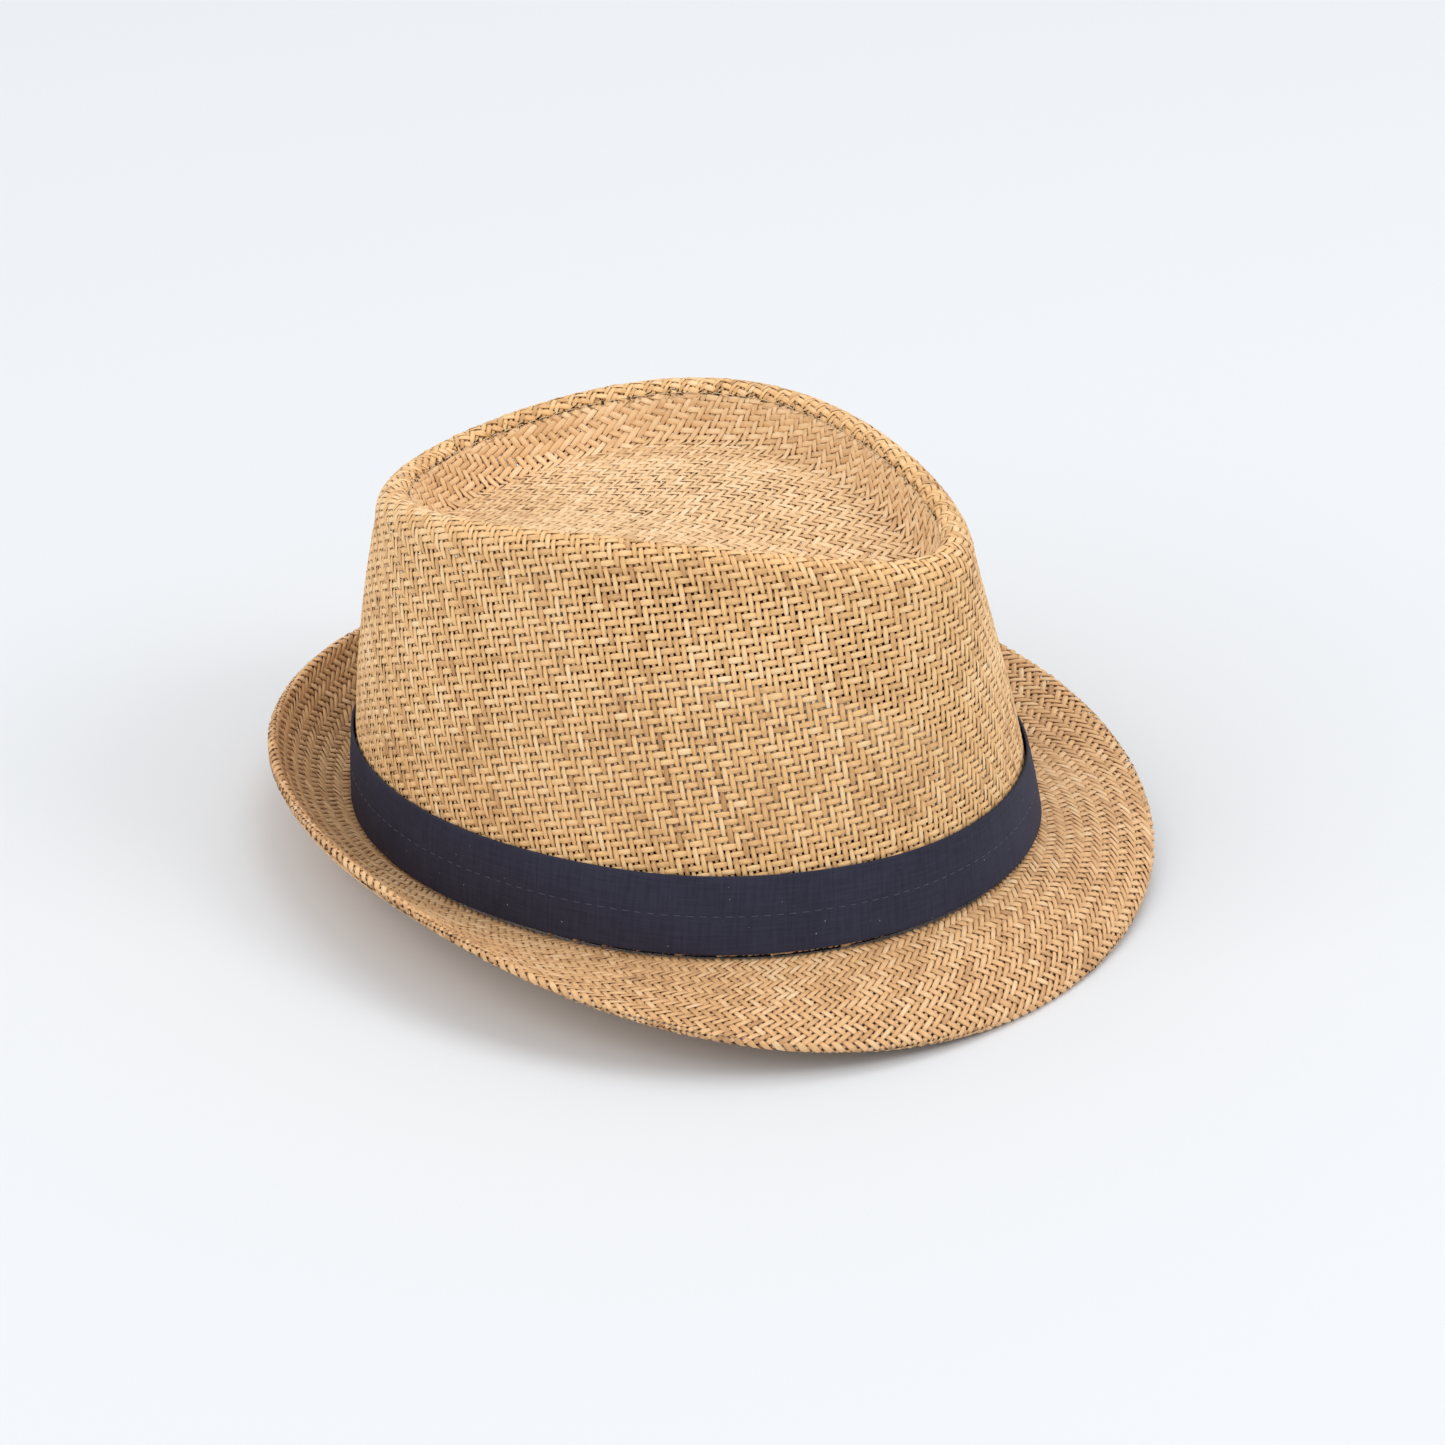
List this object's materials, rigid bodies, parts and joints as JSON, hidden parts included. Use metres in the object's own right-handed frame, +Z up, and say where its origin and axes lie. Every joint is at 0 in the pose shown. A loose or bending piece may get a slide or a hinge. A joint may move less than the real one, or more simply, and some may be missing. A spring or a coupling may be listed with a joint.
{
  "type": "fedora hat",
  "caption": "Short-brimmed woven straw fedora with a teardrop dished crown, dark cotton band, inner sweatband and a brim turned up behind.",
  "frame": {"origin": "middle of the hat's footprint, on the surface that it stands on", "axes": "+Z up, the front of the hat towards -Y, the wearer's left at +X"},
  "size_m": [0.2346, 0.2668, 0.125],
  "materials": {
    "crown_straw": "woven paper straw, 2/2 twill, natural tan, matt with a faint sheen",
    "brim_straw": "woven paper straw cut on the bias, natural tan",
    "under_straw": "woven paper straw, natural tan, underside",
    "band_cotton": "navy cotton, fine plain weave, matt",
    "band_thread": "navy polyester sewing thread",
    "sweatband_cotton": "dark cotton twill, matt",
    "seam_tape": "beige cotton binding tape",
    "stay_tape": "grey non-stretch tape",
    "straw_thread": "tan sewing thread",
    "interlining": "stiff white nonwoven",
    "edge_wire": "spring steel wire",
    "label_satin": "white satin ribbon, blank"
  },
  "bodies": {
    "root": {"crown_side": "crown_straw", "crown_tip": "crown_straw", "crown_tip_thread": "straw_thread", "crown_tip_tape": "seam_tape", "crown_back_tape": "seam_tape", "brim_top": "brim_straw", "brim_under": "under_straw", "brim_interlining": "interlining", "brim_edge_wire": "edge_wire", "head_stay_tape": "stay_tape", "sweatband": "sweatband_cotton", "sweatband_thread": "band_thread", "sweatband_joint": "sweatband_cotton", "care_label": "label_satin", "size_label": "label_satin", "hat_band": "band_cotton", "hat_band_thread": "band_thread", "hat_band_joint": "band_cotton"}
  },
  "joints": []
}
